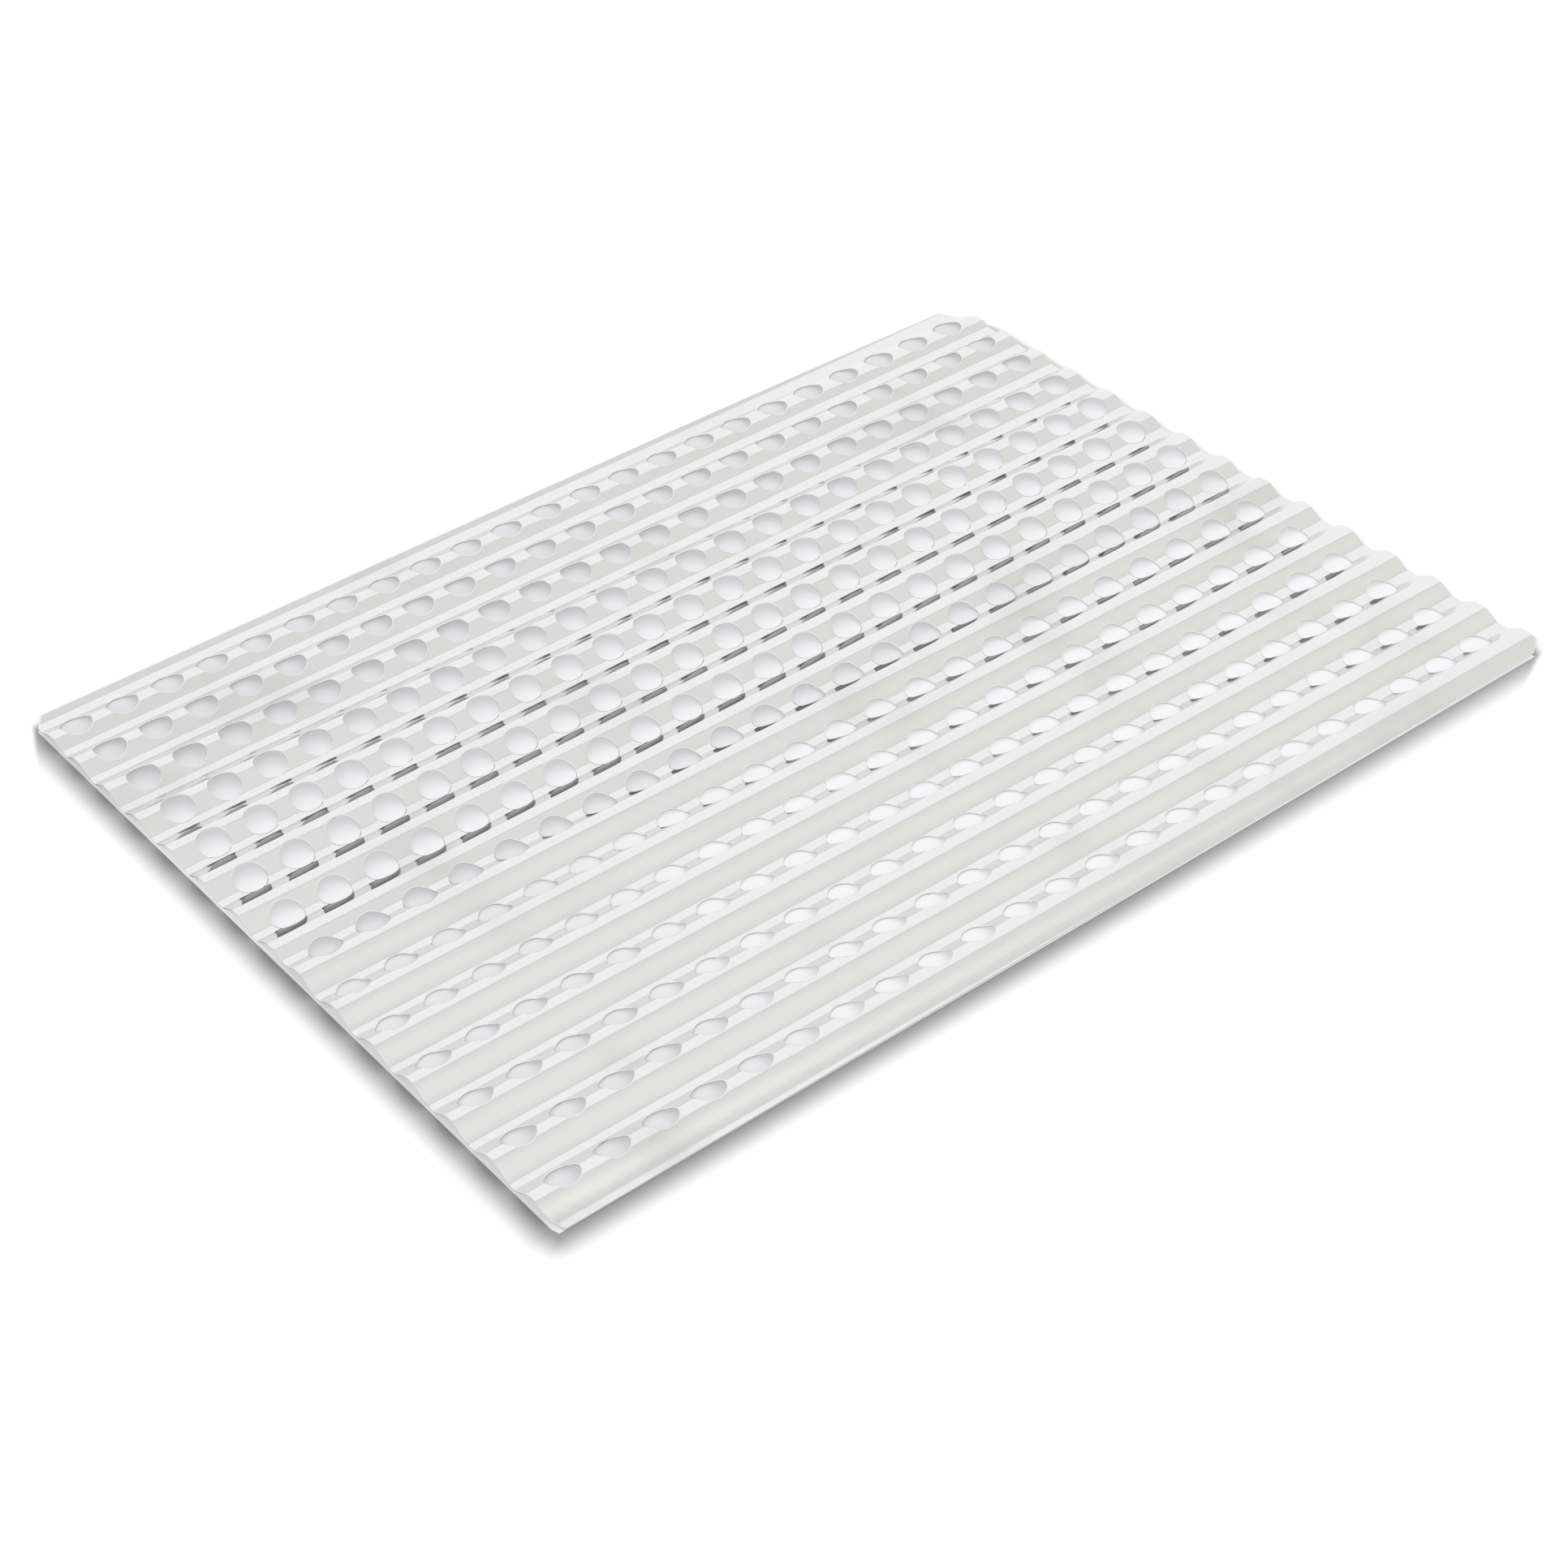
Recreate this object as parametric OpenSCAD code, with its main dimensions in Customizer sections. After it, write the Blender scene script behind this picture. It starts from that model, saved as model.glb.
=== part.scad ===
// Corrugated perforated sheet, millimetres, +Z up.
// The ribs run along X. The raised lip lies along the +Y edge, the long
// flange and its foot strip along the -Y edge. The valleys rest on Z = 0.

/* [Sheet] */
// Length along the ribs
sheet_length = 402; // [120:1:900]
// Thickness of the stainless sheet
sheet_t = 0.5; // [0.3:0.05:1.5]

/* [Ribs] */
// Number of crests
rib_count = 15; // [3:1:30]
// Distance from crest to crest
rib_pitch = 18.8; // [12:0.1:40]
// Width of the flat on a crest and in a valley
flat_w = 3.0; // [1:0.1:8]
// Height of a crest above a valley, measured between mid-surfaces
rib_h = 4.4; // [1:0.1:10]

/* [Edges] */
// Plan width of the raised lip on the +Y edge
lip_run = 4.2; // [1:0.1:10]
// Plan width of the last slope, from the last crest down to the floor
flange_run = 9.2; // [4:0.1:20]
// Plan width of the flat foot strip on the -Y edge
foot_w = 2.8; // [0.5:0.1:10]

/* [Holes] */
// Diameter of a punched hole
hole_d = 11; // [2:0.1:14]
// Distance between holes along a rib
hole_pitch = 17; // [12:0.1:40]
// Distance from the -X edge to the first column of holes
hole_edge = 11.8; // [8:0.1:40]
// First row, measured in the flat sheet from the first crest's far bend
row_start = -3.1; // [-10:0.05:10]
// How much the row pitch exceeds the rib pitch, in the flat sheet
row_creep = 1.55; // [0:0.05:2]

/* [Corners] */
// Clipped corner at -X +Y, along X
clip_lip_left_x = 3.5; // [0.5:0.1:20]
// Clipped corner at -X +Y, along Y
clip_lip_left_y = 5; // [0.5:0.1:20]
// Clipped corner at +X +Y, along X
clip_lip_right_x = 6; // [0.5:0.1:20]
// Clipped corner at +X +Y, along Y
clip_lip_right_y = 17; // [0.5:0.1:20]
// Clipped corner at -X -Y, along X
clip_foot_left_x = 2; // [0.5:0.1:20]
// Clipped corner at -X -Y, along Y
clip_foot_left_y = 7; // [0.5:0.1:20]
// Clipped corner at +X -Y, along X
clip_foot_right_x = 4.7; // [0.5:0.1:20]
// Clipped corner at +X -Y, along Y
clip_foot_right_y = 3.3; // [0.5:0.1:20]

/* [Hidden] */
$fn = 48;

// Plan width of one slope, its angle, and the plan width of the whole sheet
flank_run = rib_pitch / 2 - flat_w;
flank_angle = atan2(rib_h, flank_run);
sheet_w = lip_run + rib_count * rib_pitch - flank_run + flange_run + foot_w;

// The lip's cut end leans out past its mid-surface by this much
lip_lean = sheet_t / 2 * sin(flank_angle);
edge_y = (sheet_w - lip_lean) / 2;

// Heights of the mid-surface, and the start of rib k from the +Y edge
low = sheet_t / 2;
high = low + rib_h;
function rib_at(k) = lip_run + flat_w + k * rib_pitch;

// Bends of the folded mid-surface as [distance from the +Y edge, height]
lip_bends = [
    [0, low + lip_run * tan(flank_angle)],
    [lip_run, low],
    [rib_at(0), low],
];
rib_bends = [
    for (k = [0:rib_count - 2], p = [
        [rib_at(k) + flank_run, high],
        [rib_at(k) + flank_run + flat_w, high],
        [rib_at(k + 1) - flat_w, low],
        [rib_at(k + 1), low],
    ]) p
];
last_crest = rib_at(rib_count - 1) + flank_run;
flange_bends = [
    [last_crest, high],
    [last_crest + flat_w, high],
    [last_crest + flat_w + flange_run, low],
    [sheet_w, low],
];
bends = [
    for (p = concat(lip_bends, rib_bends, flange_bends)) [edge_y - p[0], p[1]]
];
last = len(bends) - 1;

// Unit direction of facet i, its upward normal, and its flat-sheet start
function along(i) = (bends[i + 1] - bends[i]) / norm(bends[i + 1] - bends[i]);
function upward(d) = [d[1], -d[0]];
function flat_at(i) = i == 0 ? 0 : flat_at(i - 1) + norm(bends[i] - bends[i - 1]);
starts = [for (i = [0:last]) flat_at(i)];

// Bend i moved off the mid-surface by s, on the mitre of its two facets
function mitre(i, s) =
    let (a = upward(along(max(i - 1, 0))))
    let (b = upward(along(min(i, last - 1))))
    let (m = (a + b) / norm(a + b))
    bends[i] + m * s / (m * a);
section = concat(
    [for (i = [0:last]) mitre(i, sheet_t / 2)],
    [for (i = [last:-1:0]) mitre(i, -sheet_t / 2)]
);

// Columns that fit the length, and each row's place in the flat sheet
hole_cols = floor((sheet_length - 2 * hole_edge) / hole_pitch + 1.3);
row_pitch = starts[6] - starts[2] + row_creep;
row_places = [for (j = [0:rib_count - 2]) starts[4] + row_start + j * row_pitch];

// A place in the flat sheet, folded to its Y
function folded_y(w) =
    let (i = [for (k = [0:last - 1]) if (starts[k] <= w && w < starts[k + 1]) k][0])
    bends[i][0] + along(i)[0] * (w - starts[i]);

// The folded strip, before the holes and the corners are cut
module folded_strip() {
    translate([-sheet_length / 2, 0, 0])
        rotate([90, 0, 90])
            linear_extrude(height = sheet_length)
                polygon(section);
}

// One row of holes; each is pierced straight down through the folded sheet
module hole_row(y) {
    for (k = [0:hole_cols - 1])
        translate([hole_edge - sheet_length / 2 + k * hole_pitch, y, -1])
            cylinder(d = hole_d, h = rib_h + sheet_t + 2);
}

// Cuts one corner; sx and sy give the quadrant, cx and cy the clip
module corner(sx, sy, cx, cy) {
    translate([sx * sheet_length / 2, sy * (sheet_w + lip_lean) / 2, -1])
        linear_extrude(height = rib_h + sheet_t + 2)
            polygon([
                [sx, sy],
                [sx, -sy * (cy + cy / cx)],
                [-sx * (cx + cx / cy), sy],
            ]);
}

// Corrugated perforated sheet, one pressed piece
module corrugated_sheet() {
    color([0.78, 0.79, 0.79])
        difference() {
            folded_strip();
            for (place = row_places) hole_row(folded_y(place));
            corner(-1, 1, clip_lip_left_x, clip_lip_left_y);
            corner(1, 1, clip_lip_right_x, clip_lip_right_y);
            corner(-1, -1, clip_foot_left_x, clip_foot_left_y);
            corner(1, -1, clip_foot_right_x, clip_foot_right_y);
        }
}

corrugated_sheet();
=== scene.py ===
"""Looks of a corrugated perforated sheet of thin stainless steel.

The sheet is one piece: a flat blank punched with rows of round holes and then
pressed into ribs that run along X. This script folds that blank again as a fine
mesh, with the small unevenness that pressing leaves, dresses it as polished
stainless steel and stands it on a pale floor under soft light. The floor has
painted shade under the sheet, a painted shadow beside it and painted light
under the holes.

Lengths of the sheet are millimetres, and its mesh is handed over in metres.
Lengths of the floor, the camera and the bump heights are metres.
"""

from __future__ import annotations

import logging
import math
from dataclasses import dataclass, field
from enum import Enum
from typing import Any

import bpy
import numpy as np
from mathutils import Matrix, Vector
from mathutils.geometry import delaunay_2d_cdt

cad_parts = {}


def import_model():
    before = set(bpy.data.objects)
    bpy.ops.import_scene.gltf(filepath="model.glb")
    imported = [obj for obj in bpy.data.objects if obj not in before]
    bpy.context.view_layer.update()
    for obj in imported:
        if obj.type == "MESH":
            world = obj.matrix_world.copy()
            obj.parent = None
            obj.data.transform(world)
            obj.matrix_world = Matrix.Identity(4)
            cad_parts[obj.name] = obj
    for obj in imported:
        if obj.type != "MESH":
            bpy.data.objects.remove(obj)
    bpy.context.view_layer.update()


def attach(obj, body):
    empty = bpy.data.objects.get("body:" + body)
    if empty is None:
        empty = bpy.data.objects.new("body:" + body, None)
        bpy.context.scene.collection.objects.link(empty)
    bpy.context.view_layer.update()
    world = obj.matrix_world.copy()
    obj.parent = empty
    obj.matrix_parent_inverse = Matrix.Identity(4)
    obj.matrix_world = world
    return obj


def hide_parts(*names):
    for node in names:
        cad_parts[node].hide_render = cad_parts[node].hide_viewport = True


LOG = logging.getLogger("corrugated_sheet")
MM = 0.001
TINY = 1e-9
SHEET_NODE = "corrugated_sheet"


class Side(Enum):
    """The two faces of the sheet."""

    TOP = 1.0
    BOTTOM = -1.0


def linear(hex_code: str) -> tuple[float, float, float, float]:
    """Turns an sRGB hex colour into linear light.

    Args:
        hex_code: six hex digits, with or without a leading hash.

    Returns:
        Red, green, blue and an alpha of 1, where a channel c is c / 12.92 up to
        0.04045 and ((c + 0.055) / 1.055) to the power 2.4 above it.
    """
    digits = hex_code.lstrip("#")
    parts = [int(digits[i : i + 2], 16) / 255.0 for i in (0, 2, 4)]
    red, green, blue = (
        c / 12.92 if c <= 0.04045 else ((c + 0.055) / 1.055) ** 2.4 for c in parts
    )
    return (red, green, blue, 1.0)


def unit(vectors: np.ndarray) -> np.ndarray:
    """Scales each row to unit length.

    Args:
        vectors: array of shape (n, d).

    Returns:
        Every row divided by its length; a row of zeros stays as it is.
    """
    return vectors / np.maximum(np.linalg.norm(vectors, axis=1, keepdims=True), TINY)


def add_node(
    tree: bpy.types.NodeTree,
    kind: str,
    inputs: dict[Any, Any] | None = None,
    **settings: Any,
) -> bpy.types.Node:
    """Adds one shader node with its settings, values and links.

    Args:
        tree: the node tree it joins.
        kind: the node's type name.
        inputs: input name or index to a plain value or to a socket to link.
        **settings: attributes of the node, such as operation.

    Returns:
        The new node.
    """
    node = tree.nodes.new(kind)
    for name, value in settings.items():
        setattr(node, name, value)
    for key, value in (inputs or {}).items():
        if isinstance(value, bpy.types.NodeSocket):
            tree.links.new(value, node.inputs[key])
        else:
            node.inputs[key].default_value = value
    return node


def bare_material(name: str) -> tuple[bpy.types.Material, bpy.types.NodeTree]:
    """Makes a material with an empty node tree.

    Args:
        name: the material's name.

    Returns:
        The material and its node tree.
    """
    material = bpy.data.materials.new(name)
    material.use_nodes = True
    material.node_tree.nodes.clear()
    return material, material.node_tree


@dataclass(frozen=True)
class PolishedStainless:
    """Bright-annealed 304 stainless steel, cold rolled and then pressed.

    It gives the eye a near mirror with a faint milky haze, long shallow waves
    left by rolling, fine rolling lines along the ribs and soft handling smudges.
    """

    name: str = "polished_stainless_304"
    colour: str = "#e4e5e3"
    smudge_colour: str = "#dadbd8"
    roughness: float = 0.09
    smudge_roughness: float = 0.2
    smudge_mm: float = 60.0
    smudge_range: tuple[float, float] = (0.52, 0.74)
    wave_mm: float = 38.0
    wave_height: float = 0.0006
    grain_mm: float = 0.9
    grain_squeeze: float = 0.06
    grain_height: float = 0.00003
    grain_strength: float = 0.05

    def build(self) -> bpy.types.Material:
        """Makes the material.

        Returns:
            A node material that reads Object coordinates only.
        """
        material, tree = bare_material(self.name)
        place = add_node(tree, "ShaderNodeTexCoord").outputs["Object"]

        # Handling smudges, soft-edged patches about smudge_mm across.
        smudge = add_node(
            tree,
            "ShaderNodeTexNoise",
            {
                "Vector": place,
                "Scale": 1000 / self.smudge_mm,
                "Detail": 3.0,
                "Roughness": 0.55,
            },
        )
        faint, full = self.smudge_range
        patch = add_node(
            tree,
            "ShaderNodeMapRange",
            {"Value": smudge.outputs["Fac"], "From Min": faint, "From Max": full},
            interpolation_type="SMOOTHSTEP",
        ).outputs["Result"]
        colour = add_node(
            tree,
            "ShaderNodeMix",
            {"Factor": patch, 6: linear(self.colour), 7: linear(self.smudge_colour)},
            data_type="RGBA",
        ).outputs[2]
        roughness = add_node(
            tree,
            "ShaderNodeMapRange",
            {"Value": patch, "To Min": self.roughness, "To Max": self.smudge_roughness},
        ).outputs["Result"]

        # Rolling lines, squeezed along X so that they run with the ribs, and
        # coarser than the real 0.1 mm ones so that they show at all.
        drawn = add_node(
            tree,
            "ShaderNodeMapping",
            {"Vector": place, "Scale": (self.grain_squeeze, 1.0, 1.0)},
        ).outputs["Vector"]
        grain = add_node(
            tree,
            "ShaderNodeTexNoise",
            {"Vector": drawn, "Scale": 1000 / self.grain_mm, "Detail": 2.0},
        ).outputs["Fac"]
        wave = add_node(
            tree,
            "ShaderNodeTexNoise",
            {"Vector": place, "Scale": 1000 / self.wave_mm, "Detail": 1.0},
        ).outputs["Fac"]
        fine = add_node(
            tree,
            "ShaderNodeBump",
            {
                "Height": grain,
                "Strength": self.grain_strength,
                "Distance": self.grain_height,
            },
        ).outputs["Normal"]
        normal = add_node(
            tree,
            "ShaderNodeBump",
            {
                "Height": wave,
                "Strength": 1.0,
                "Distance": self.wave_height,
                "Normal": fine,
            },
        ).outputs["Normal"]
        steel = add_node(
            tree,
            "ShaderNodeBsdfPrincipled",
            {
                "Base Color": colour,
                "Metallic": 1.0,
                "Roughness": roughness,
                "Normal": normal,
            },
        )
        add_node(
            tree,
            "ShaderNodeOutputMaterial",
            {"Surface": steel.outputs["BSDF"]},
        )
        return material


@dataclass(frozen=True)
class ShearedStainless:
    """The same steel where a punch or shear cut it: a little greyer and duller."""

    name: str = "sheared_edge_304"
    colour: str = "#dcdcde"
    roughness: float = 0.32

    def build(self) -> bpy.types.Material:
        """Makes the material for the cut walls.

        Returns:
            A plain node material.
        """
        material, tree = bare_material(self.name)
        steel = add_node(
            tree,
            "ShaderNodeBsdfPrincipled",
            {
                "Base Color": linear(self.colour),
                "Metallic": 1.0,
                "Roughness": self.roughness,
            },
        )
        add_node(tree, "ShaderNodeOutputMaterial", {"Surface": steel.outputs["BSDF"]})
        return material


@dataclass(frozen=True)
class RibLayout:
    """Where the pressed ribs lie, and how they change from end to end.

    q is the distance in plan from the sheet's +Y side towards the foot, and u
    runs from 0 at the -X end to 1 at the +X end. A pair of values belongs to
    those two ends, unless its comment says otherwise.
    """

    count: int = 15
    first: float = 15.9
    pitch: float = 19.7
    tight: float = 2.8
    tight_over: float = 1.3
    skew: float = 3.0
    settle_over: float = 2.0
    pinched_valley: int = 8
    pinch: tuple[float, float] = (5.1, 0.6)
    pinch_lift: float = 1.7
    flat: tuple[float, float] = (3.1, 4.7)
    height_first: float = 2.4
    height_early: float = 3.7
    height_late: float = 4.2
    height_loss: float = 0.25
    lip: tuple[float, float] = (4.3, 3.5)
    lip_start: float = -1.0
    lip_slope: float = 0.45
    lip_valley: float = 1.12
    foot_start: tuple[float, float] = (289.5, 293.0)
    foot_end: float = 296.0
    flange_at: tuple[float, float] = (0.33, 0.63)
    flange_height: tuple[tuple[float, float], ...] = ((0.67, 0.07), (0.37, -0.18))
    bend: float = 1.2
    roll: float = 6.0
    rolled: tuple[float, float, float] = (0.12, 0.75, 0.30)

    def near_edges(self, u: np.ndarray) -> np.ndarray:
        """Plan distance of each crest's bend on the foot side.

        Rib k lies at first + k * pitch, less tight times the sum of
        exp(-i / tight_over) for i below k, because the first ribs are closer,
        plus skew * u * exp(-k / settle_over), less the pinch past the pinched
        valley.

        Args:
            u: place along the ribs, shape (n,).

        Returns:
            Array of shape (count, n).
        """
        k = np.arange(self.count)[:, None]
        ratio = math.exp(-1.0 / self.tight_over)
        drawn_in = self.tight * (1.0 - ratio**k) / (1.0 - ratio)
        pinch = self.pinch[0] + (self.pinch[1] - self.pinch[0]) * u
        return (
            self.first
            + k * self.pitch
            - drawn_in
            + self.skew * u * np.exp(-k / self.settle_over)
            - np.where(k >= self.pinched_valley, pinch, 0.0)
        )

    def heights(self, u: np.ndarray) -> np.ndarray:
        """Height of each crest over the floor valleys.

        It grows as height_early less an exponential up to the pinched valley,
        is height_late beyond it, and loses height_loss of itself at +X.

        Args:
            u: place along the ribs, shape (n,).

        Returns:
            Array of shape (count, n).
        """
        k = np.arange(self.count)[:, None]
        early = self.height_early - (self.height_early - self.height_first) * np.exp(
            -k / self.settle_over
        )
        base = np.where(k < self.pinched_valley, early, self.height_late)
        return base * (1.0 - self.height_loss * u)

    def bends(self, u: np.ndarray) -> tuple[np.ndarray, np.ndarray]:
        """Bend lines of the folded mid-surface at each place.

        The flange's two soft bends lie at the shares flange_at of its run. Their
        heights are a + b (1 - u) of the last crest's, from flange_height.

        Args:
            u: place along the ribs, shape (n,).

        Returns:
            Plan distances and heights, both of shape (bends, n): the lip's edge,
            its valley's two bends, four bends for each rib, and the flange's two
            soft bends, its foot and the foot's edge.
        """
        near = self.near_edges(u)
        high = self.heights(u)
        flat = self.flat[0] + (self.flat[1] - self.flat[0]) * u
        lip = self.lip[0] + (self.lip[1] - self.lip[0]) * u
        zero = np.zeros_like(u)
        q = [zero + self.lip_start, lip, lip + flat * self.lip_valley]
        z = [(lip - self.lip_start) * self.lip_slope, zero, zero]
        for k in range(self.count):
            q += [near[k] - flat, near[k]]
            z += [high[k], high[k]]
            if k == self.count - 1:
                break
            run = (near[k + 1] - near[k] - 2.0 * flat) / 2.0
            lifted = self.pinch_lift * (1.0 - u) if k == self.pinched_valley - 1 else zero
            q += [near[k] + run, near[k] + run + flat]
            z += [lifted, lifted]
        start = self.foot_start[0] + (self.foot_start[1] - self.foot_start[0]) * u
        q += [near[-1] + at * (start - near[-1]) for at in self.flange_at]
        q += [start, zero + self.foot_end]
        z += [high[-1] * (share + more * (1.0 - u)) for share, more in self.flange_height]
        z += [zero, zero]
        return np.array(q), np.array(z)

    def rolled_share(self, u: np.ndarray) -> np.ndarray:
        """How much of each inner bend is rolled wide.

        It is rolled[0] before the pinched valley, where the ribs are crisp, and
        rolled[1] + (rolled[2] - rolled[1]) * u after it.

        Args:
            u: place along the ribs, shape (n,).

        Returns:
            Array of shape (bends - 2, n).
        """
        late = np.arange(4 * self.count + 3)[:, None] >= 1 + 4 * self.pinched_valley
        soft = self.rolled[1] + (self.rolled[2] - self.rolled[1]) * u
        return np.where(late, soft, self.rolled[0])


@dataclass(frozen=True)
class HolePattern:
    """Rows of punched holes, straight in the flat blank.

    Each row is measured in the flat blank from the foot-side bend of the crest
    with its own number, and it creeps away from that bend row by row.
    """

    rows: int = 14
    columns: int = 23
    diameter: float = 11.0
    pitch: float = 17.0
    start_x: float = -189.2
    early_start: tuple[float, float] = (-3.1, -4.9)
    early_step: tuple[float, float] = (1.7, 1.3)
    late_row: int = 8
    late_start: tuple[float, float] = (14.3, 6.5)
    late_step: tuple[float, float] = (0.7, 0.8)
    early_drift: tuple[float, float] = (1.4, 3.1)
    late_drift: tuple[float, float] = (-1.5, 0.38)
    segments: int = 32
    rim: float = 0.4

    def offset(self, row: np.ndarray, u: np.ndarray) -> np.ndarray:
        """Row's distance from its crest's bend.

        Args:
            row: row numbers.
            u: places along the ribs.

        Returns:
            start + step * row at each end, and in between a straight line in u.
        """
        late = row >= self.late_row

        def end(i: int) -> np.ndarray:
            """Offsets at the -X end for i = 0, at the +X end for i = 1."""
            return np.where(
                late,
                self.late_start[i] + self.late_step[i] * (row - self.late_row),
                self.early_start[i] + self.early_step[i] * row,
            )

        return end(0) + (end(1) - end(0)) * u

    def centres(self) -> tuple[np.ndarray, np.ndarray]:
        """Row number and X of every hole, as two flat arrays.

        X is start_x + pitch * column plus the row's drift, which settles as
        a - b * exp(-row) in the early rows and grows evenly in the late ones.

        Returns:
            Two arrays of shape (rows * columns,).
        """
        row, column = (
            grid.ravel()
            for grid in np.meshgrid(
                np.arange(self.rows), np.arange(self.columns), indexing="ij"
            )
        )
        early = self.early_drift[0] - self.early_drift[1] * np.exp(-row)
        late = self.late_drift[0] + self.late_drift[1] * (row - self.late_row)
        drift = np.where(row < self.late_row, early, late)
        return row, self.start_x + self.pitch * column + drift


@dataclass
class CorrugatedSheet:
    """The pressed sheet: one closed mesh with every hole, rim and cut edge."""

    length: float = 402.0
    width: float = 291.8
    thickness: float = 0.5
    roll_over: float = 0.14
    rim_tilt: float = 0.75
    wall_lift: tuple[float, float] = (0.9, 0.25)
    line_shifts: tuple[float, ...] = (-2.0, -0.6, 0.0, 0.6, 2.0)
    line_overrun: float = 1.0
    slope_step: float = 0.1
    merge_distance: float = 1e-5
    ribs: RibLayout = field(default_factory=RibLayout)
    holes: HolePattern = field(default_factory=HolePattern)
    finish: PolishedStainless = field(default_factory=PolishedStainless)
    edge_finish: ShearedStainless = field(default_factory=ShearedStainless)

    def along(self, x: np.ndarray) -> np.ndarray:
        """Place along the ribs.

        Args:
            x: places in the sheet's own X.

        Returns:
            (x + length / 2) / length, from 0 at the -X end to 1 at the +X end.
        """
        return (x + self.length / 2.0) / self.length

    def outline(self) -> np.ndarray:
        """Cut outline in plan, with its four clipped corners.

        The lip's edge bows in slightly towards +X, so it has two points more.

        Returns:
            Array of shape (points, 2) with x and y, anticlockwise.
        """
        half, deep = self.length / 2.0, self.width / 2.0
        return np.array(
            [
                # The foot's edge
                [-half + 2.2, -deep + 0.1],
                [half - 5.0, -deep + 0.7],
                # The +X edge
                [half - 0.1, -deep + 4.0],
                [half - 4.0, deep - 17.0],
                # The lip's edge
                [half - 11.8, deep - 2.8],
                [half - 68.0, deep - 2.0],
                [0.0, deep - 1.3],
                [-half + 3.7, deep - 1.0],
                # The -X edge
                [-half + 0.3, deep - 5.0],
                [-half + 0.1, -deep + 7.0],
            ]
        )

    def fold(self, x: np.ndarray, q: np.ndarray) -> tuple[np.ndarray, np.ndarray]:
        """Height and slope of the folded mid-surface.

        The slope is a sum of ramps, two for each bend: it rises evenly from the
        slope before the bend to the slope after it, a share of the rise over the
        wide roll and the rest over the crisp bend. The height is the slope's
        integral, so each bend is a sum of two parabolas.

        Args:
            x: places along the ribs, shape (n,).
            q: plan distances from the lip's edge, shape (n,).

        Returns:
            Heights and slopes dz/dq, both of shape (n,).
        """
        bend_q, bend_z = self.ribs.bends(self.along(x))
        slope = np.diff(bend_z, axis=0) / np.diff(bend_q, axis=0)
        change = np.diff(slope, axis=0)
        share = self.ribs.rolled_share(self.along(x))
        height = bend_z[0] + slope[0] * (q - bend_q[0])
        steep = slope[0]
        for width, part in ((self.ribs.bend, 1.0 - share), (self.ribs.roll, share)):
            past = (q - bend_q[1:-1]) / width
            ramp = np.clip(past + 0.5, 0.0, 1.0)
            lift = ramp**2 / 2.0 + np.maximum(past - 0.5, 0.0)
            height = height + (width * part * change * lift).sum(axis=0)
            steep = steep + (part * change * ramp).sum(axis=0)
        return height, steep

    def surface(self, x: np.ndarray, y: np.ndarray) -> tuple[np.ndarray, np.ndarray]:
        """Points and unit normals of the mid-surface above plan places.

        The normal is (-dz/dx, -dz/dy, 1) made unit length, with dz/dx taken from
        slope_step before the place to slope_step after it, and dz/dy = -dz/dq.

        Args:
            x: places along the ribs.
            y: places across them.

        Returns:
            Two arrays of shape (n, 3).
        """
        q = self.width / 2.0 - y
        height, slope = self.fold(x, q)
        step = self.slope_step
        dz_dx = (self.fold(x + step, q)[0] - self.fold(x - step, q)[0]) / (2.0 * step)
        normal = unit(np.stack([-dz_dx, slope, np.ones_like(x)], axis=1))
        return np.stack([x, y, height + self.thickness / 2.0], axis=1), normal

    def plan_of(self, row: np.ndarray, x: np.ndarray, s: np.ndarray) -> np.ndarray:
        """Y of a place given in the flat blank.

        The flat distance from the lip's edge is used up facet by facet: each
        facet gives dq = (flat part on it) * (its plan run / its flat length).

        Args:
            row: the row whose crest bend s is measured from.
            x: places along the ribs.
            s: flat distances past that bend, towards the foot.

        Returns:
            The Y of each place.
        """
        bend_q, bend_z = self.ribs.bends(self.along(x))
        run = np.diff(bend_q, axis=0)
        flat = np.hypot(run, np.diff(bend_z, axis=0))
        start = np.vstack([np.zeros_like(x)[None], np.cumsum(flat, axis=0)])
        crest_bend = 4 + 4 * row
        total = start[crest_bend, np.arange(x.size)] + s
        part = np.clip(total - start[:-1], 0.0, flat)
        q = bend_q[0] + (part * run / flat).sum(axis=0)
        return self.width / 2.0 - q

    def ring(self, radius: float) -> np.ndarray:
        """Circles about every hole, round in the flat blank, folded to plan.

        A ring is x = hole x + r cos(a) and flat distance = row offset + r sin(a).

        Args:
            radius: the circles' radius.

        Returns:
            Array of shape (holes, segments, 2) with x and y.
        """
        row, centre_x = self.holes.centres()
        angle = np.arange(self.holes.segments) * 2.0 * np.pi / self.holes.segments
        x = centre_x[:, None] + radius * np.cos(angle)
        rows = np.broadcast_to(row[:, None], x.shape).ravel()
        flat_x = x.ravel()
        offset = self.holes.offset(rows, self.along(flat_x))
        shift = np.broadcast_to(radius * np.sin(angle), x.shape).ravel()
        y = self.plan_of(rows, flat_x, offset - shift)
        return np.stack([x, y.reshape(x.shape)], axis=2)

    def bend_lines(self, stations: int = 49) -> np.ndarray:
        """Lines in plan along every bend, one for each of line_shifts.

        Args:
            stations: points on each line.

        Returns:
            Array of shape (lines, stations, 2).
        """
        reach = self.length / 2.0 + self.line_overrun
        x = np.linspace(-reach, reach, stations)
        bend_q = self.ribs.bends(self.along(x))[0][1:-1]
        shift = np.array(self.line_shifts)[:, None, None]
        y = self.width / 2.0 - (bend_q[None] + shift).reshape(-1, stations)
        return np.stack([np.broadcast_to(x, y.shape), y], axis=2)

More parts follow.
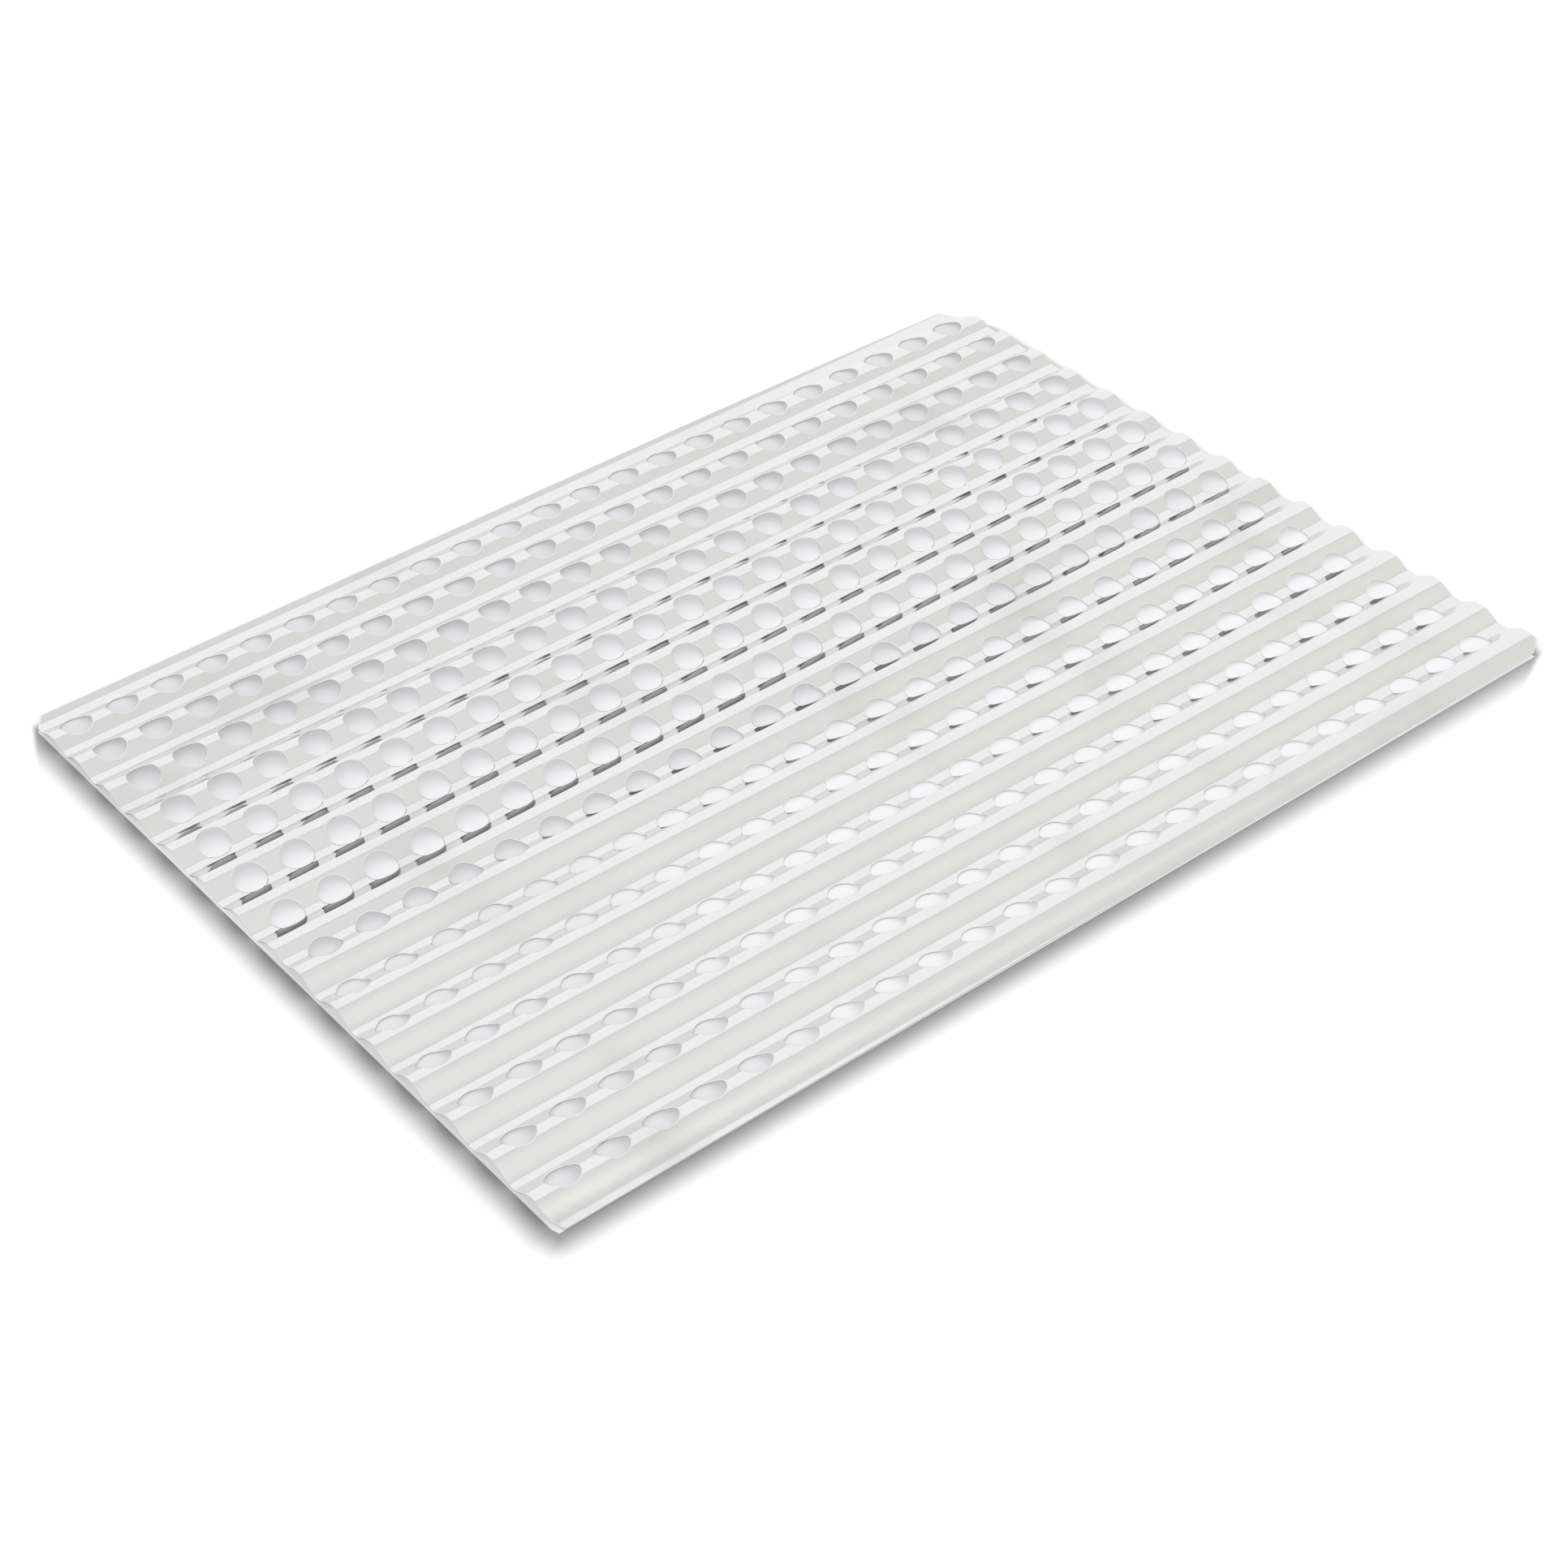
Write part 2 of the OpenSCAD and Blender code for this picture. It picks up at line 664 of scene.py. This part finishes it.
    def flat_mesh(self) -> tuple[np.ndarray, np.ndarray]:
        """Triangles of the sheet in plan, holes left open.

        Rings, bend lines and the outline are joined into one Delaunay mesh, and
        triangles inside a hole or outside the outline are dropped.

        Returns:
            Vertices (n, 2) and anticlockwise triangles (m, 3).
        """
        rims = self.ring(self.holes.diameter / 2.0)
        collars = self.ring(self.holes.diameter / 2.0 + self.holes.rim)
        lines = self.bend_lines()
        outline = self.outline()
        inset = outline * (1.0 - 2.0 * self.holes.rim / np.array([self.length, self.width]))
        groups: list[tuple[np.ndarray, bool]] = [(outline[None], True), (inset[None], True)]
        groups += [(rims, True), (collars, True), (lines, False)]
        points, edges, base = [], [], 0
        for block, closed in groups:
            count, size = block.shape[:2]
            index = base + np.arange(count * size).reshape(count, size)
            after = np.roll(index, -1, axis=1)
            pairs = np.stack([index, after], axis=2)
            edges.append((pairs if closed else pairs[:, :-1]).reshape(-1, 2))
            points.append(block.reshape(-1, 2))
            base += count * size
        plan = np.concatenate(points)
        result = delaunay_2d_cdt(
            [Vector(p) for p in plan.tolist()],
            np.concatenate(edges).tolist(),
            [],
            0,
            self.merge_distance,
        )
        vertices = np.array([(v.x, v.y) for v in result[0]])
        triangles = np.array([f for f in result[2] if len(f) == 3])
        return vertices, triangles[self.kept(vertices, triangles, rims, outline)]

    def kept(
        self,
        vertices: np.ndarray,
        triangles: np.ndarray,
        rims: np.ndarray,
        outline: np.ndarray,
        chunks: int = 40,
    ) -> np.ndarray:
        """Which triangles belong to the sheet.

        A centre is outside if it lies right of any outline side, and in a hole if
        it lies left of every side of the nearest rim.

        Args:
            vertices: plan vertices.
            triangles: triangles by vertex number.
            rims: hole rims, shape (holes, segments, 2).
            outline: convex outline.
            chunks: how many parts the work is split into, to save memory.

        Returns:
            A boolean mask over the triangles.
        """
        centre = vertices[triangles].mean(axis=1)
        side = np.roll(outline, -1, axis=0) - outline
        gap = centre[:, None] - outline[None]
        inside = (side[:, 0] * gap[..., 1] - side[:, 1] * gap[..., 0] > 0).all(axis=1)
        middle = rims.mean(axis=1)
        in_hole = np.zeros(len(centre), dtype=bool)
        for chunk in np.array_split(np.arange(len(centre)), chunks):
            span = centre[chunk][:, None] - middle[None]
            near = rims[np.argmin((span**2).sum(axis=2), axis=1)]
            edge = np.roll(near, -1, axis=1) - near
            away = centre[chunk][:, None] - near
            cross = edge[..., 0] * away[..., 1] - edge[..., 1] * away[..., 0]
            in_hole[chunk] = (cross > 0).all(axis=1) | (cross < 0).all(axis=1)
        return inside & ~in_hole

    def rim_edges(self, triangles: np.ndarray) -> np.ndarray:
        """Edges that only one triangle uses.

        Args:
            triangles: anticlockwise triangles by vertex number.

        Returns:
            Pairs of vertex numbers, directed so that the material is on the left.
        """
        edges = np.concatenate([triangles[:, [0, 1]], triangles[:, [1, 2]], triangles[:, [2, 0]]])
        big = int(triangles.max()) + 1
        key = edges.min(axis=1) * big + edges.max(axis=1)
        _, inverse, counts = np.unique(key, return_inverse=True, return_counts=True)
        return edges[counts[inverse.ravel()] == 1]

    def build(self) -> bpy.types.Object:
        """Makes the sheet as a closed mesh with exact shading normals.

        Each face is the mid-surface moved half a thickness along its normal. At
        a cut the face's edge drops by roll_over and its normal leans out by
        rim_tilt, as a punched edge does. A cut wall's normal is its outward
        direction plus wall_lift times the sheet's normal, at its top and base.

        Returns:
            The sheet's object.
        """
        plan, triangles = self.flat_mesh()
        corner = plan[triangles]
        one, two = corner[:, 1] - corner[:, 0], corner[:, 2] - corner[:, 0]
        turned = one[:, 0] * two[:, 1] - one[:, 1] * two[:, 0] < 0
        triangles[turned] = triangles[turned][:, ::-1]
        used, triangles = np.unique(triangles, return_inverse=True)
        triangles = triangles.reshape(-1, 3)
        plan = plan[used]
        count = len(plan)

        middle, normal = self.surface(plan[:, 0], plan[:, 1])
        rim = self.rim_edges(triangles)
        step = plan[rim[:, 1]] - plan[rim[:, 0]]
        out = unit(np.stack([step[:, 1], -step[:, 0]], axis=1))
        outward = np.zeros((count, 3))
        np.add.at(outward[:, :2], rim[:, 0], out)
        np.add.at(outward[:, :2], rim[:, 1], out)
        cut = outward.any(axis=1)
        outward = unit(outward)

        points, normals = [], []
        for side in Side:
            half = np.where(cut, self.thickness / 2.0 - self.roll_over, self.thickness / 2.0)
            points.append(middle + side.value * half[:, None] * normal)
            normals.append(unit(side.value * normal + self.rim_tilt * outward))
        wall = np.stack([rim[:, 0], rim[:, 0] + count, rim[:, 1] + count, rim[:, 1]], axis=1)
        top, base = (outward + lift * normal for lift in self.wall_lift)
        rounded = unit(np.concatenate([top, base]))
        below = triangles[:, ::-1] + count

        mesh = bpy.data.meshes.new("pressed_sheet")
        faces = triangles.tolist() + below.tolist() + wall.tolist()
        mesh.from_pydata((np.concatenate(points) * MM).tolist(), [], faces)
        mesh.polygons.foreach_set("use_smooth", np.ones(len(faces), dtype=bool))
        shade = np.concatenate(
            [
                normals[0][triangles.ravel()],
                normals[1][below.ravel() - count],
                rounded[wall.ravel()],
            ]
        )
        mesh.normals_split_custom_set(shade.tolist())
        for finish in (self.finish, self.edge_finish):
            mesh.materials.append(finish.build())
        is_wall = np.arange(len(faces)) >= 2 * len(triangles)
        mesh.polygons.foreach_set("material_index", is_wall.astype(np.int32))
        sheet = bpy.data.objects.new("pressed_sheet", mesh)
        bpy.context.scene.collection.objects.link(sheet)
        LOG.info("pressed_sheet: %d vertices, %d faces", len(mesh.vertices), len(faces))
        return sheet


@dataclass(frozen=True)
class PaperWithPaintedLight:
    """Matt white paper with painted shade and painted light where the sheet lies.

    A sheet this low leaves only a thin shadow, so painted shade tones the paper
    down under the sheet, and a painted shadow lies just outside its -X and -Y
    edges, away from the lamp. A painted glow, seen only by camera and glossy
    rays, stands in for light on the floor in the holes. Each of the clips is a
    facing, a distance along it and a falloff.
    """

    name: str = "paper_with_painted_shade_and_light"
    colour: str = "#fcfcfc"
    # Painted shadow on the paper just outside the sheet's -X and -Y edges.
    painted_shadow_colour: str = "#9b9b9c"
    # Painted shade on the paper under the sheet.
    painted_shade_under_sheet: str = "#9e9ea0"
    # Painted light under the sheet: the colour and strength of an emission.
    painted_light_colour: str = "#f3f2f6"
    painted_light: float = 0.655
    # Share of the painted light that glossy rays see: a painted reflection in the metal.
    painted_light_in_reflections: float = 0.23
    # Painted light's share along Y: place and share.
    painted_light_along_y: tuple[tuple[float, float], ...] = (
        (-0.034, 1.00),
        (-0.011, 0.86),
        (0.010, 0.95),
        (0.060, 0.95),
        (0.105, 0.72),
    )
    # Painted shade towards the -X -Y corner: the painted light drops there.
    painted_light_at_corner: float = 0.80
    corner_fade_x: tuple[float, float] = (-0.08, -0.13)
    corner_fade_y: tuple[float, float] = (0.0, -0.03)
    half_size: float = 6.0
    low: tuple[float, float] = (-0.2013, -0.1457)
    high: tuple[float, float] = (0.1960, 0.1400)
    clips: tuple[tuple[tuple[float, float, float], float, float], ...] = (
        ((-0.97, -0.25, 0.0), 0.2310, 1.0),
        ((0.876, 0.481, 0.0), 0.2330, 8.0),
    )
    edge_blur: float = 0.0002
    shade_reach: float = 0.0112
    shade_end: float = 0.82
    shade_drift: float = 2.0
    lit_side_falloff: float = 2.0

    def build(self) -> bpy.types.Object:
        """Lays the floor at Z = 0, where the sheet's valleys rest.

        Returns:
            The floor's object.
        """
        half = self.half_size
        mesh = bpy.data.meshes.new("floor")
        corners = [(-half, -half, 0), (half, -half, 0), (half, half, 0), (-half, half, 0)]
        mesh.from_pydata(corners, [], [(0, 1, 2, 3)])
        mesh.materials.append(self.material())
        floor = bpy.data.objects.new("floor", mesh)
        bpy.context.scene.collection.objects.link(floor)
        return floor

    def gap(
        self, tree: bpy.types.NodeTree, place: bpy.types.NodeSocket
    ) -> bpy.types.NodeSocket:
        """Distance outside the rectangle of painted shade and painted light.

        With b = max(low - p, 0), it is the length of b +
        lit_side_falloff * max(p - high + shade_drift * (b_x + b_y), 0). So it
        grows faster on the two sides that face the lamp, and the painted shadow
        leaves the +X and +Y ends of the other two at a slant. Where one of the
        clips gives more with (facing . p - distance) * falloff, that is used
        instead. The first clips the -X -Y corner and the second, steeper one the
        +X +Y corner.

        Args:
            tree: the floor's node tree.
            place: the floor's own coordinates.

        Returns:
            The distance, nought inside.
        """
        below = add_node(
            tree, "ShaderNodeVectorMath", {0: (*self.low, 0.0), 1: place}, operation="SUBTRACT"
        ).outputs["Vector"]
        before = add_node(
            tree, "ShaderNodeVectorMath", {0: below, 1: (0.0, 0.0, 0.0)}, operation="MAXIMUM"
        ).outputs["Vector"]
        slant = add_node(
            tree,
            "ShaderNodeVectorMath",
            {0: before, 1: (self.shade_drift, self.shade_drift, 0.0)},
            operation="DOT_PRODUCT",
        ).outputs["Value"]
        above = add_node(
            tree, "ShaderNodeVectorMath", {0: place, 1: (*self.high, 0.0)}, operation="SUBTRACT"
        ).outputs["Vector"]
        slanted = add_node(
            tree, "ShaderNodeVectorMath", {0: above, 1: slant}, operation="ADD"
        ).outputs["Vector"]
        beyond = add_node(
            tree, "ShaderNodeVectorMath", {0: slanted, 1: (0.0, 0.0, 0.0)}, operation="MAXIMUM"
        ).outputs["Vector"]
        joined = add_node(
            tree,
            "ShaderNodeVectorMath",
            {0: beyond, 1: (self.lit_side_falloff, self.lit_side_falloff, 0.0), 2: before},
            operation="MULTIPLY_ADD",
        ).outputs["Vector"]
        outside = add_node(
            tree, "ShaderNodeVectorMath", {0: joined}, operation="LENGTH"
        ).outputs["Value"]
        for facing, distance, falloff in self.clips:
            along = add_node(
                tree, "ShaderNodeVectorMath", {0: place, 1: facing}, operation="DOT_PRODUCT"
            ).outputs["Value"]
            past = add_node(
                tree,
                "ShaderNodeMath",
                {0: along, 1: falloff, 2: -falloff * distance},
                operation="MULTIPLY_ADD",
            ).outputs["Value"]
            outside = add_node(
                tree, "ShaderNodeMath", {0: outside, 1: past}, operation="MAXIMUM"
            ).outputs["Value"]
        return outside

    def painted_light_share(
        self, tree: bpy.types.NodeTree, place: bpy.types.NodeSocket
    ) -> bpy.types.NodeSocket:
        """Share of the painted light at each place under the sheet.

        It follows painted_light_along_y, and towards the -X -Y corner it drops
        further, to painted_light_at_corner of that, over corner_fade_x and
        corner_fade_y, as painted shade in that corner.

        Args:
            tree: the floor's node tree.
            place: the floor's own coordinates.

        Returns:
            The share, from 0 to 1.
        """
        axes = add_node(tree, "ShaderNodeSeparateXYZ", {"Vector": place})
        first, last = self.painted_light_along_y[0][0], self.painted_light_along_y[-1][0]
        along = add_node(
            tree,
            "ShaderNodeMapRange",
            {"Value": axes.outputs["Y"], "From Min": first, "From Max": last},
        ).outputs["Result"]
        ramp = add_node(tree, "ShaderNodeValToRGB", {"Fac": along})
        stops = ramp.color_ramp.elements
        for stop, (_, share) in zip(stops, (self.painted_light_along_y[0], self.painted_light_along_y[-1])):
            stop.color = (share, share, share, 1.0)
        for y, share in self.painted_light_along_y[1:-1]:
            stops.new((y - first) / (last - first)).color = (share, share, share, 1.0)
        left = add_node(
            tree,
            "ShaderNodeMapRange",
            {
                "Value": axes.outputs["X"],
                "From Min": self.corner_fade_x[0],
                "From Max": self.corner_fade_x[1],
            },
        ).outputs["Result"]
        near = add_node(
            tree,
            "ShaderNodeMapRange",
            {
                "Value": axes.outputs["Y"],
                "From Min": self.corner_fade_y[0],
                "From Max": self.corner_fade_y[1],
            },
        ).outputs["Result"]
        both = add_node(
            tree, "ShaderNodeMath", {0: left, 1: near}, operation="MULTIPLY"
        ).outputs["Value"]
        drop = add_node(
            tree,
            "ShaderNodeMapRange",
            {"Value": both, "To Min": 1.0, "To Max": self.painted_light_at_corner},
        ).outputs["Result"]
        return add_node(
            tree, "ShaderNodeMath", {0: ramp.outputs["Color"], 1: drop}, operation="MULTIPLY"
        ).outputs["Value"]

    def material(self) -> bpy.types.Material:
        """Makes the paper with its painted shade, painted shadow and painted light.

        The painted shadow is 1 - (3 t^2 - 2 t^3), where t is gap / shade_reach:
        whole at the rectangle's edge and gone at shade_reach. From the middle to
        the +X end it weakens to shade_end of that. Inside the rectangle the paper
        has the painted shade colour instead. The painted light stops at the
        rectangle's edge, and the metal shows part of it as a painted reflection.

        Returns:
            The floor's material.
        """
        material, tree = bare_material(self.name)
        place = add_node(tree, "ShaderNodeTexCoord").outputs["Object"]
        gap = self.gap(tree, place)
        # Painted shadow: whole at the rectangle's edge, gone at shade_reach, weaker towards +X.
        near = add_node(
            tree,
            "ShaderNodeMapRange",
            {"Value": gap, "From Max": self.shade_reach, "To Min": 1.0, "To Max": 0.0},
            interpolation_type="SMOOTHSTEP",
        ).outputs["Result"]
        across = add_node(tree, "ShaderNodeSeparateXYZ", {"Vector": place}).outputs["X"]
        weaker = add_node(
            tree,
            "ShaderNodeMapRange",
            {"Value": across, "From Max": self.high[0], "To Min": 1.0, "To Max": self.shade_end},
        ).outputs["Result"]
        shade = add_node(
            tree, "ShaderNodeMath", {0: near, 1: weaker}, operation="MULTIPLY"
        ).outputs["Value"]
        colour = add_node(
            tree,
            "ShaderNodeMix",
            {"Factor": shade, 6: linear(self.colour), 7: linear(self.painted_shadow_colour)},
            data_type="RGBA",
        ).outputs[2]
        inside = add_node(
            tree,
            "ShaderNodeMapRange",
            {"Value": gap, "From Max": self.edge_blur, "To Min": 1.0, "To Max": 0.0},
        ).outputs["Result"]
        # Painted shade: inside the rectangle the paper takes a darker colour.
        painted_shade_ground = add_node(
            tree,
            "ShaderNodeMix",
            {"Factor": inside, 6: colour, 7: linear(self.painted_shade_under_sheet)},
            data_type="RGBA",
        ).outputs[2]
        paper = add_node(tree, "ShaderNodeBsdfDiffuse", {"Color": painted_shade_ground}).outputs["BSDF"]
        # Painted light: the paper under the sheet emits for camera rays, and a share of it for
        # glossy rays as a painted reflection.
        path = add_node(tree, "ShaderNodeLightPath")
        seen = add_node(
            tree,
            "ShaderNodeMath",
            {
                0: path.outputs["Is Glossy Ray"],
                1: self.painted_light_in_reflections,
                2: path.outputs["Is Camera Ray"],
            },
            operation="MULTIPLY_ADD",
        ).outputs["Value"]
        strength: bpy.types.NodeSocket = add_node(
            tree, "ShaderNodeMath", {0: inside, 1: self.painted_light}, operation="MULTIPLY"
        ).outputs["Value"]
        for factor in (seen, self.painted_light_share(tree, place)):
            strength = add_node(
                tree, "ShaderNodeMath", {0: strength, 1: factor}, operation="MULTIPLY"
            ).outputs["Value"]
        painted_light = add_node(
            tree,
            "ShaderNodeEmission",
            {"Color": linear(self.painted_light_colour), "Strength": strength},
        ).outputs["Emission"]
        total = add_node(tree, "ShaderNodeAddShader", {0: paper, 1: painted_light})
        add_node(tree, "ShaderNodeOutputMaterial", {"Surface": total.outputs["Shader"]})
        return material


@dataclass(frozen=True)
class SoftStudio:
    """Camera and plain soft light.

    Each of the tones is a place from 0 to 1 and the red, green and blue there.
    """

    eye: tuple[float, float, float] = (-0.5202, -0.6526, 0.6475)
    look: tuple[float, float, float] = (0.47809, 0.60517, -0.63656)
    up: tuple[float, float, float] = (0.41203, 0.48553, 0.77104)
    focal_over_width: float = 2.0574534
    sensor_mm: float = 36.0
    clip_range: tuple[float, float] = (0.01, 50.0)
    key_strength: float = 0.6
    key_from: tuple[float, float, float] = (0.60, 0.62, 0.52)
    key_softness_deg: float = 38.0
    bright_side: tuple[float, float, float] = (0.15, 0.98, 0.0)
    tones: tuple[tuple[float, float, float, float], ...] = (
        (0.00, 0.80, 0.81, 0.78),
        (0.20, 1.00, 1.01, 0.96),
        (0.30, 1.06, 1.06, 1.02),
        (0.36, 1.00, 1.00, 0.98),
        (0.41, 0.975, 0.98, 0.96),
        (0.45, 0.925, 0.93, 0.93),
        (0.50, 0.905, 0.91, 0.91),
        (0.54, 0.87, 0.88, 0.87),
        (0.59, 0.83, 0.84, 0.82),
        (0.65, 0.98, 0.97, 1.00),
        (0.70, 1.10, 1.09, 1.12),
        (1.00, 1.10, 1.09, 1.12),
    )
    warm_tint: tuple[float, float, float] = (0.985, 0.975, 0.93)
    warm_from_x: tuple[float, float] = (0.35, 0.65)
    warm_from_lean: tuple[float, float] = (0.2, -0.1)

    def camera(self) -> bpy.types.Object:
        """Sets up the camera from its eye point, direction and up vector.

        Returns:
            The camera's object.
        """
        data = bpy.data.cameras.new("camera")
        data.sensor_width = self.sensor_mm
        data.lens = self.sensor_mm * self.focal_over_width
        data.clip_start, data.clip_end = self.clip_range
        back = -Vector(self.look).normalized()
        right = Vector(self.up).cross(back).normalized()
        above = back.cross(right)
        turn = Matrix((right, above, back)).transposed().to_4x4()
        camera = bpy.data.objects.new("camera", data)
        camera.matrix_world = Matrix.Translation(self.eye) @ turn
        bpy.context.scene.collection.objects.link(camera)
        bpy.context.scene.camera = camera
        return camera

    def key(self) -> None:
        """A broad lamp from behind on the +X side, for the shadow on the floor."""
        data = bpy.data.lights.new("key", "SUN")
        data.energy = self.key_strength
        data.angle = math.radians(self.key_softness_deg)
        lamp = bpy.data.objects.new("key", data)
        lamp.rotation_mode = "QUATERNION"
        lamp.rotation_quaternion = Vector(self.key_from).to_track_quat("Z", "Y")
        lamp.visible_glossy = False
        bpy.context.scene.collection.objects.link(lamp)

    def room(self) -> None:
        """A plain bright room, whose tone depends on direction only.

        It follows tones at (1 + lean) / 2, where lean = bright_side . direction.
        So it is brightest towards +Y, dips a little above that, and is light again
        on the -Y side. Overhead and towards -Y, the +X side is a little warmer.
        """
        world = bpy.data.worlds.new("room")
        world.use_nodes = True
        tree = world.node_tree
        tree.nodes.clear()
        direction = add_node(tree, "ShaderNodeTexCoord").outputs["Generated"]
        lean = add_node(
            tree,
            "ShaderNodeVectorMath",
            {0: direction, 1: self.bright_side},
            operation="DOT_PRODUCT",
        ).outputs["Value"]
        tone = add_node(
            tree,
            "ShaderNodeMapRange",
            {"Value": lean, "From Min": -1.0, "From Max": 1.0},
        ).outputs["Result"]
        ramp = add_node(tree, "ShaderNodeValToRGB", {"Fac": tone})
        stops = ramp.color_ramp.elements
        for stop, (position, *colour) in zip(stops, (self.tones[0], self.tones[-1])):
            stop.position, stop.color = position, (*colour, 1.0)
        for position, *colour in self.tones[1:-1]:
            stops.new(position).color = (*colour, 1.0)
        axes = add_node(tree, "ShaderNodeSeparateXYZ", {"Vector": direction})
        across = add_node(
            tree,
            "ShaderNodeMapRange",
            {
                "Value": axes.outputs["X"],
                "From Min": self.warm_from_x[0],
                "From Max": self.warm_from_x[1],
            },
        ).outputs["Result"]
        front = add_node(
            tree,
            "ShaderNodeMapRange",
            {
                "Value": lean,
                "From Min": self.warm_from_lean[0],
                "From Max": self.warm_from_lean[1],
            },
        ).outputs["Result"]
        warm = add_node(
            tree, "ShaderNodeMath", {0: across, 1: front}, operation="MULTIPLY"
        ).outputs["Value"]
        tinted = add_node(
            tree,
            "ShaderNodeMix",
            {"Factor": warm, 6: ramp.outputs["Color"], 7: (*self.warm_tint, 1.0)},
            data_type="RGBA",
            blend_type="MULTIPLY",
        ).outputs[2]
        room = add_node(tree, "ShaderNodeBackground", {"Color": tinted, "Strength": 1.0})
        add_node(tree, "ShaderNodeOutputWorld", {"Surface": room.outputs["Background"]})
        bpy.context.scene.world = world

    def build(self) -> None:
        """Sets up the camera, the lamp, the room and plain colour handling."""
        self.camera()
        self.key()
        self.room()
        bpy.context.scene.view_settings.view_transform = "Standard"


def main() -> None:
    """Builds the sheet, its floor and its light."""
    logging.basicConfig(level=logging.INFO, format="%(name)s: %(message)s")
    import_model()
    SoftStudio().build()
    PaperWithPaintedLight().build()
    sheet = CorrugatedSheet().build()
    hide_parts(SHEET_NODE)
    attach(sheet, "root")


if __name__ == "__main__":
    main()
